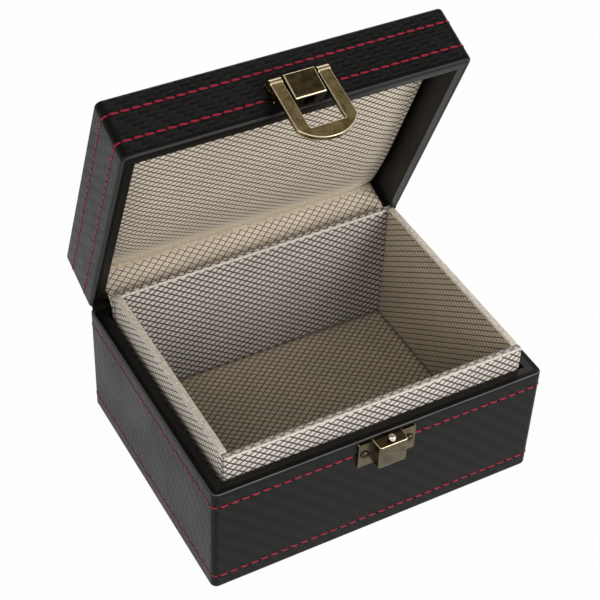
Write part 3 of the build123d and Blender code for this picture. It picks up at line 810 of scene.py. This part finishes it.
def lid_pad(material):
    """The padded panel: crowned across its middle, rolled in at its edges, low at the hinge."""
    low, high = closed_box("lid_pad_fabric")
    size = high - low
    middle = (low + high) / 2
    points, faces = box_grid(size, [PAD_STEP] * 3)
    rolled = size.z * PAD_ROLLED
    rounded = round_box(points, size, lambda p: PAD_R if p[2] < rolled else PAD_BACK_R)
    cloth = np.zeros((len(points), 3))
    half_x, half_y = size.x / 2, size.y / 2
    fade_from, fade_to = PAD_FADE
    for n, p in enumerate(points):
        deep = size.z / 2 + p[2]
        along_x = p[0] + math.copysign(deep, p[0]) * (abs(p[0]) > half_x - TINY)
        along_y = p[1] + math.copysign(deep, p[1]) * (abs(p[1]) > half_y - TINY)
        faded = min(1.0, max(0.0, (p[1] - half_y + fade_from) / (fade_from - fade_to)))
        cloth[n] = (along_x, along_y, PAD_PLAIN * ease(faded))
    world = rounded + np.array(middle)
    for n, p in enumerate(points):
        share = 0.5 - p[2] / size.z
        calm = ease(min(1.0, (half_x - abs(p[0])) / PAD_CALM))
        past = p[1] - PAD_DOME_AT
        if past < 0:
            dome = PAD_DOME * (1 - (past / (half_y + PAD_DOME_AT)) ** 2) * calm
        else:
            dome = PAD_DOME * calm - past * past / (2 * PAD_HINGE_BEND)
        swell = PAD_SWELL * soft_wave(world[n], PAD_SWELL_SCALE, PAD_SWELL_SEED) * calm
        world[n][2] -= share * (dome + swell)
    turned = [LID_PLACE @ Vector(p) for p in world]
    cloth = turned_cloth(cloth, PAD_TURN)
    piece = make_object("lid_pad_cloth", turned, faces, material, cloth=cloth)
    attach(piece, "lid")
    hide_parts("lid_pad_fabric", "lid_pad_foam")


# ---------------------------------------------------------------- hinge strip

STRIP_THICK = 0.25 * MM
STRIP_HALF = 58.0 * MM
STRIP_STEP = 1.0 * MM
STRIP_COLUMN = 1.4 * MM
STRIP_PLAIN = 2.6 * MM
STRIP_RIPPLE = 0.16 * MM
STRIP_RIPPLE_SCALE = 110.0
STRIP_RIPPLE_SEED = 21.0
STRIP_SMOOTHINGS = 3
# its way down the lid's inner wall: into the wall, how far it leans out at the pad, how far up the
# pad's rolled edge it starts, and two heights over the lid's rim
STRIP_IN_WALL = 0.02 * MM
STRIP_LEAN = 0.04 * MM
STRIP_UP_PAD = 0.4
STRIP_LID_HEIGHTS = (4 * MM, 0.6 * MM)
# and behind the liner: the gap to it, and the points over and under the base's rim
STRIP_TUCK = 0.2 * MM
STRIP_OVER = (1.0 * MM, 1.9 * MM)
STRIP_AT_RIM = 0.1 * MM
STRIP_BELOW = 3.5 * MM


def strip_path():
    """Y and Z of the strip's middle, from the pad down behind the liner, with the lid open."""
    liner_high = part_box("liner_back_fabric")[1]
    inner_low, inner_high = closed_box("lid_pad_fabric")
    wall = inner_high.y + STRIP_IN_WALL
    on_lid = [(wall - STRIP_LEAN, inner_low.z + PAD_R * STRIP_UP_PAD)]
    on_lid += [(wall, LID_RIM + height) for height in STRIP_LID_HEIGHTS]
    lid_points = [LID_PLACE @ Vector((0, y, z)) for y, z in on_lid]
    tuck = liner_high.y + STRIP_TUCK
    on_base = [
        (tuck + STRIP_OVER[0], BASE_TOP + STRIP_OVER[1]),
        (tuck, BASE_TOP + STRIP_AT_RIM),
        (tuck, BASE_TOP - STRIP_BELOW),
    ]
    points = [Vector((p.y, p.z)) for p in lid_points] + [Vector(p) for p in on_base]
    route = []
    for a, b in zip(points, points[1:]):
        count = max(1, round((b - a).length / STRIP_STEP))
        route += [a.lerp(b, i / count) for i in range(count)]
    route.append(points[-1])
    for _ in range(STRIP_SMOOTHINGS):
        eased = route[:]
        for i in range(1, len(route) - 1):
            eased[i] = (route[i - 1] + route[i] * 2 + route[i + 1]) / 4
        route = eased
    return route


def shell_faces(rows, columns):
    """Faces of a thin sheet: two layers of quads, and the band that joins them round the rim."""
    wide = columns + 1
    top = rows * wide
    faces = []
    for layer in (0, 1):
        for i in range(rows - 1):
            for c in range(columns):
                a = layer * top + i * wide + c
                quad = [a, a + 1, a + wide + 1, a + wide]
                faces.append(quad if layer else quad[::-1])
    rim = list(range(wide))
    rim += [i * wide + columns for i in range(1, rows)]
    rim += [(rows - 1) * wide + c for c in range(columns - 1, -1, -1)]
    rim += [i * wide for i in range(rows - 2, 0, -1)]
    for a, b in zip(rim, rim[1:] + rim[:1]):
        faces.append([a, b, top + b, top + a])
    return faces


def hinge_strip(material):
    """Fabric that runs from the lid's inner back wall down behind the tray."""
    route = strip_path()
    columns = round(2 * STRIP_HALF / STRIP_COLUMN)
    verts = []
    cloth = []
    length = [0.0]
    for a, b in zip(route, route[1:]):
        length.append(length[-1] + (b - a).length)
    for face in (-0.5, 0.5):
        for i, p in enumerate(route):
            ahead = route[min(i + 1, len(route) - 1)] - route[max(i - 1, 0)]
            side = Vector((-ahead.y, ahead.x)).normalized()
            free = math.sin(math.pi * (length[i] / length[-1]))
            plain = 1.0 if length[i] < STRIP_PLAIN else 0.0
            for c in range(columns + 1):
                x = -STRIP_HALF + 2 * STRIP_HALF * c / columns
                wave = soft_wave((x, length[i], 0), STRIP_RIPPLE_SCALE, STRIP_RIPPLE_SEED)
                at = p + side * (face * STRIP_THICK + STRIP_RIPPLE * free * wave)
                verts.append((x, at.x, at.y))
                cloth.append((x, -length[i], plain))
    faces = shell_faces(len(route), columns)
    piece = make_object("hinge_strip_cloth", verts, faces, material, cloth=cloth)
    normals_out(piece)
    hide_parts("hinge_strip")
    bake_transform(piece)


# ---------------------------------------------------------------- folds at the hinge line's ends

GUSSET_INSET = 1.0 * MM
GUSSET_REACH = 1.6 * MM
GUSSET_LIFT = 0.05 * MM
GUSSET_THICK = 0.08 * MM
GUSSET_PULL = Vector((0, 0.12 * MM, -0.04 * MM))
GUSSET_FROM_LEAF = 1.2 * MM
GUSSET_FROM_SIDE = 0.75 * MM
GUSSET_STEPS = 6
GUSSET_SPOTS = 26


def gusset_section(back):
    """Y and Z across the fold, from the base's rim over to the lid's, with the lid open."""
    near, far = back - GUSSET_INSET - GUSSET_REACH, back - GUSSET_INSET
    low_near, low_far = (Vector((0, y, BASE_TOP + GUSSET_LIFT)) for y in (near, far))
    on_lid = LID_RIM - GUSSET_LIFT
    high_near, high_far = (LID_PLACE @ Vector((0, y, on_lid)) for y in (near, far))
    middle = (low_far + high_far) / 2 + GUSSET_PULL
    route = [low_near]
    for i in range(GUSSET_STEPS + 1):
        t = i / GUSSET_STEPS
        route.append(low_far * (1 - t) ** 2 + middle * 2 * t * (1 - t) + high_far * t * t)
    return route + [high_near]


def gusset_faces(spots, row):
    """Faces of the fold: its two sides, its long edges, then its two ends."""
    faces = []
    for c in range(spots - 1):
        for i in range(0, row - 2, 2):
            a, b = c * row + i, (c + 1) * row + i
            faces += [[a, a + 2, b + 2, b], [a + 1, b + 1, b + 3, a + 3]]
        for i in (0, row - 2):
            a, b = c * row + i, (c + 1) * row + i
            faces.append([a, b, b + 1, a + 1])
    for c in (0, spots - 1):
        for i in range(0, row - 2, 2):
            a = c * row + i
            faces.append([a, a + 1, a + 3, a + 2])
    return faces


def hinge_gussets(material):
    """Folds of smooth leather that close the ends of the hinge line, beyond the metal hinges."""
    r = COVER_CORNER_R
    leaf_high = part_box("hinge_right_base_leaf")[1]
    ends = leaf_high.x + GUSSET_FROM_LEAF, HALF_X - GUSSET_FROM_SIDE
    for name, side in (("left", -1), ("right", 1)):
        verts = []
        for x in np.linspace(*ends, GUSSET_SPOTS):
            past = max(0.0, x - (HALF_X - r))
            back = HALF_Y - r + math.sqrt(max(0.0, r * r - past * past))
            section = gusset_section(back)
            for i, p in enumerate(section):
                ahead = section[min(i + 1, len(section) - 1)] - section[max(i - 1, 0)]
                out = Vector((0, ahead.z, -ahead.y)).normalized() * GUSSET_THICK / 2
                verts += [(side * x, *(p + out).yz), (side * x, *(p - out).yz)]
        faces = gusset_faces(GUSSET_SPOTS, 2 * len(section))
        piece = make_object(f"hinge_gusset_{name}", verts, faces, material)
        normals_out(piece)
        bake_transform(piece)


# ---------------------------------------------------------------- stitching

STITCH_PITCH = 3.9 * MM
STITCH_LENGTH = 3.7 * MM
STITCH_R = 0.42 * MM
STITCH_FLAT = 0.6
STITCH_TALL = 1.05
STITCH_SLANT = 0.13 * MM
STITCH_SLANT_VARIES = 0.4
STITCH_SEED_STEP = 12.9898
STITCH_DIP = 0.42 * MM
STITCH_RISE = -0.03 * MM
STITCH_ARCH = 0.45
STITCH_SWELL = (0.55, 0.45)  # its thickness at the ends, and what its middle adds
STITCH_RINGS = 13
STITCH_SIDES = 10
PLY_DEPTH = 0.13
PLY_TWIST = 9.0
RIM_SHADOW = 0.5
END_SHADOW = 0.35
PLATE_SPARE = 1.4 * MM


def around_box(s):
    """A point and outward direction along the cover's outline, from the middle of the front."""
    r = COVER_CORNER_R
    x, y = HALF_X - r, HALF_Y - r
    sides = (2 * x, 2 * y, 2 * x, 2 * y)
    corners = ((x, -y), (x, y), (-x, y), (-x, -y))
    arc = math.pi / 2 * r
    s = (s + x) % (sum(sides) + 4 * arc)
    heading = 0.0
    at = Vector((-x, -HALF_Y))
    for length, corner in zip(sides, corners):
        ahead = Vector((math.cos(heading), math.sin(heading)))
        out = Vector((ahead.y, -ahead.x))
        if s <= length:
            return at + ahead * s, out
        s -= length
        looks = heading - math.pi / 2
        if s <= arc:
            bent = Vector((math.cos(looks + s / r), math.sin(looks + s / r)))
            return Vector(corner) + bent * r, bent
        s -= arc
        heading += math.pi / 2
        looks = heading - math.pi / 2
        at = Vector(corner) + Vector((math.cos(looks), math.sin(looks))) * r
    return at, out


def outline_length():
    r = COVER_CORNER_R
    return 4 * (HALF_X - r) + 4 * (HALF_Y - r) + 2 * math.pi * r


def one_stitch(start, z, seed, place, rim_side):
    """A short twisted thread that dips into the cover at both ends, with painted shade on its side
    towards the rim and at its ends.
    """
    verts = []
    outward = []
    slant = STITCH_SLANT * (1 + STITCH_SLANT_VARIES * math.sin(seed * STITCH_SEED_STEP))
    for ring in range(STITCH_RINGS):
        t = ring / (STITCH_RINGS - 1)
        hump = math.sin(math.pi * t)
        point, out = around_box(start + t * STITCH_LENGTH)
        lift = -STITCH_DIP + (STITCH_DIP + STITCH_RISE) * hump ** STITCH_ARCH
        swell = STITCH_SWELL[0] + STITCH_SWELL[1] * hump ** 0.5
        for side in range(STITCH_SIDES):
            angle = 2 * math.pi * side / STITCH_SIDES
            ply = 1 + PLY_DEPTH * math.cos(2 * angle - PLY_TWIST * t)
            radius = STITCH_R * swell * ply
            away = lift + STITCH_FLAT * radius * math.cos(angle)
            up = z + radius * math.sin(angle) * STITCH_TALL + slant * (1 - 2 * t)
            flat = point + out * away
            verts.append(place @ Vector((flat.x, flat.y, up)))
            # outward is painted shade: lower on the thread's side towards the rim and near its ends
            lit = 0.5 + 0.5 * math.cos(angle + RIM_SHADOW * rim_side)
            outward.append(lit - END_SHADOW * (1 - hump ** 0.6))
    faces = []
    for ring in range(STITCH_RINGS - 1):
        for side in range(STITCH_SIDES):
            a = ring * STITCH_SIDES + side
            b = ring * STITCH_SIDES + (side + 1) % STITCH_SIDES
            faces.append([a, b, b + STITCH_SIDES, a + STITCH_SIDES])
    faces.append(list(range(STITCH_SIDES))[::-1])
    last = (STITCH_RINGS - 1) * STITCH_SIDES
    faces.append([last + side for side in range(STITCH_SIDES)])
    return verts, faces, outward


def stitch_row(name, z, place, body, hidden, material):
    """A row of stitches round the box.

    hidden lists the metal plates that cover it, each as its middle X, its half width and its face.
    """
    count = round(outline_length() / STITCH_PITCH)
    pitch = outline_length() / count
    verts = []
    faces = []
    outward = []
    rim_side = 1.0 if body == "base" else -1.0
    for n in range(count):
        start = n * pitch
        middle, _ = around_box(start + STITCH_LENGTH / 2)
        if any(abs(middle.x - x) < half and middle.y * face > 0 for x, half, face in hidden):
            continue
        more, rings, facing = one_stitch(start, z, n + 1.0, place, rim_side)
        outward += facing
        faces += [[i + len(verts) for i in ring] for ring in rings]
        verts += more
    piece = make_object(name + "_stitches", verts, faces, material)
    shading = piece.data.attributes.new("outward", "FLOAT", "POINT")
    shading.data.foreach_set("value", outward)
    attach(piece, body)
    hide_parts(name)


def hidden_by(nodes, face):
    """The stretches of a row that some plates cover; face is -1 at the front and 1 at the back."""
    out = []
    for node in nodes:
        low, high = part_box(node)
        out.append(((low.x + high.x) / 2, (high.x - low.x) / 2 + PLATE_SPARE, face))
    return out


def make_stitching(material):
    closed = Matrix.Identity(4)
    hinges = hidden_by(["hinge_left_base_leaf", "hinge_right_base_leaf"], 1)
    rows = (
        ("base_stitching_upper", closed, "base", hidden_by(["catch_plate"], -1) + hinges),
        ("base_stitching_lower", closed, "base", []),
        ("lid_stitching_upper", LID_PLACE, "lid", []),
        ("lid_stitching_lower", LID_PLACE, "lid", hidden_by(["hasp_body"], -1) + hinges),
    )
    for name, place, body, hidden in rows:
        low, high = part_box(name) if body == "base" else closed_box(name)
        stitch_row(name, (low.z + high.z) / 2, place, body, hidden, material)


# ---------------------------------------------------------------- stage and light

STUDIO_SIZE = 14.0
WALL_HEIGHT = 2.4
STUDIO_TONES = ((0.8, 0.8, 0.8, 1), (0.82, 0.82, 0.82, 1))
STUDIO_MOTTLE = 30
STUDIO_ROUGH = 0.9
STUDIO_GLOW = 0.97
ROOM_COLOUR = (1.0, 0.985, 0.96, 1)
ROOM_LIGHT = 0.26
LAMP_TINT = (1.0, 0.98, 0.95)
LAMP_AIM = Vector((0, 0, 0.06))
# name, place and size in metres, and watts
LAMPS = (
    ("key", (0.62, -1.25, 0.62), 0.75, 20),
    ("fill", (-0.9, -1.0, 1.0), 0.9, 7),
    ("low_left", (-1.5, -0.2, 0.3), 0.5, 4),
    ("back_right", (0.55, 1.0, 1.1), 0.9, 6),
)


def show_white(sh):
    """One for camera, glossy and transmission rays, which see the white studio."""
    path = sh.tree.nodes.new("ShaderNodeLightPath")
    seen = path.outputs["Is Camera Ray"]
    for kind in ("Is Glossy Ray", "Is Transmission Ray"):
        seen = sh.math("MAXIMUM", seen, path.outputs[kind])
    return seen


def make_studio():
    """A pale floor with four low walls, white to the eye and lit plainly for everything else."""
    half = STUDIO_SIZE / 2
    corners = ((-half, -half), (half, -half), (half, half), (-half, half))
    verts = [(x, y, z) for z in (0, WALL_HEIGHT) for x, y in corners]
    walls = [[n, n + 4, (n + 1) % 4 + 4, (n + 1) % 4] for n in range(4)]
    sh = Shader("studio_floor")
    sh.set(Base_Color=sh.mix(sh.noise(sh.place(), STUDIO_MOTTLE, 2.0), *STUDIO_TONES))
    sh.set(Roughness=STUDIO_ROUGH)
    glow = sh.node("Emission", {"Strength": 1.0})
    share = sh.math("MULTIPLY", show_white(sh), STUDIO_GLOW)
    surface = sh.node("MixShader", {0: share, 1: sh.bsdf.outputs[0], 2: glow})
    sh.put(sh.out.inputs["Surface"], surface)
    floor = make_object("studio_floor", verts, [[0, 1, 2, 3]] + walls, sh.material, smooth=False)


def make_world():
    world = bpy.data.worlds.new("studio")
    bpy.context.scene.world = world
    world.use_nodes = True
    tree = world.node_tree
    tree.nodes.clear()
    out = tree.nodes.new("ShaderNodeOutputWorld")
    room = tree.nodes.new("ShaderNodeBackground")
    room.inputs["Color"].default_value = ROOM_COLOUR
    room.inputs["Strength"].default_value = ROOM_LIGHT
    tree.links.new(room.outputs[0], out.inputs["Surface"])


def make_lamps():
    for name, at, size, watts in LAMPS:
        data = bpy.data.lights.new(name, "AREA")
        data.shape = "SQUARE"
        data.size = size
        data.energy = watts
        data.color = LAMP_TINT
        lamp = bpy.data.objects.new(name, data)
        bpy.context.scene.collection.objects.link(lamp)
        aim = LAMP_AIM - Vector(at)
        lamp.location = at
        lamp.rotation_euler = aim.to_track_quat("-Z", "Y").to_euler()


# ---------------------------------------------------------------- put together


def nodes_ending(*endings):
    return [name for name in NODES if name.endswith(endings)]


def finish_cad_nodes():
    """Materials for the pieces whose CAD shape is shown."""
    give(["base_cover"], embossed_leather(False))
    give(["lid_cover"], embossed_leather(True))
    give(["base_lining"], smooth_leather(False))
    give(["lid_lining"], smooth_leather(True))
    square = [Vector(v) for v in ((1, 0, 0), (0, 1, 0), (0, 0, 1))]
    lid_square = [LID_PLACE.to_3x3() @ v for v in square]
    loop_face = max(NODES["hasp_loop"].data.polygons, key=lambda face: face.area).normal
    give(["hasp_loop"], bronze("bronze_loop", [loop_face], walls=True))
    # the block's underside and the catch's top faces get painted shade
    give(["hasp_body"], bronze("bronze_block", lid_square, shaded_side=-lid_square[2]))
    give(["catch_plate"], bronze("bronze_catch", square[2:], walls=True, shaded_side=square[2]))
    give(nodes_ending("_leaf"), bronze("bronze_leaf"))
    give(nodes_ending("_screws", "_pin"), bronze("bronze_small"))
    give(["catch_stud"], polished_stud())
    give(["base_underside_felt"], plain_stuff("felt"))
    give(nodes_ending("_card"), plain_stuff("grey_card"))
    give(nodes_ending("_board"), plain_stuff("fibreboard"))


def make_fabric():
    """The tray's five boards, the lid's pad and the hinge strip."""
    liner_cloth = ripstop("ripstop_liner")
    shaded_side_cloth = ripstop("ripstop_side_shaded")
    lit_left_cloth = ripstop("ripstop_left_lit")
    liner_panel("front", liner_cloth)
    liner_panel("back", liner_cloth)
    liner_panel("left", lit_left_cloth)
    liner_panel("right", shaded_side_cloth)
    liner_floor(shaded_side_cloth)
    lid_pad(ripstop("ripstop_pad"))
    hinge_strip(ripstop("ripstop_strip"))


make_camera()
finish_cad_nodes()
make_fabric()
hinge_gussets(NODES["base_lining"].data.materials[0])
make_stitching(stitch_thread())
make_studio()
make_world()
make_lamps()
bpy.context.scene.view_settings.view_transform = "Standard"
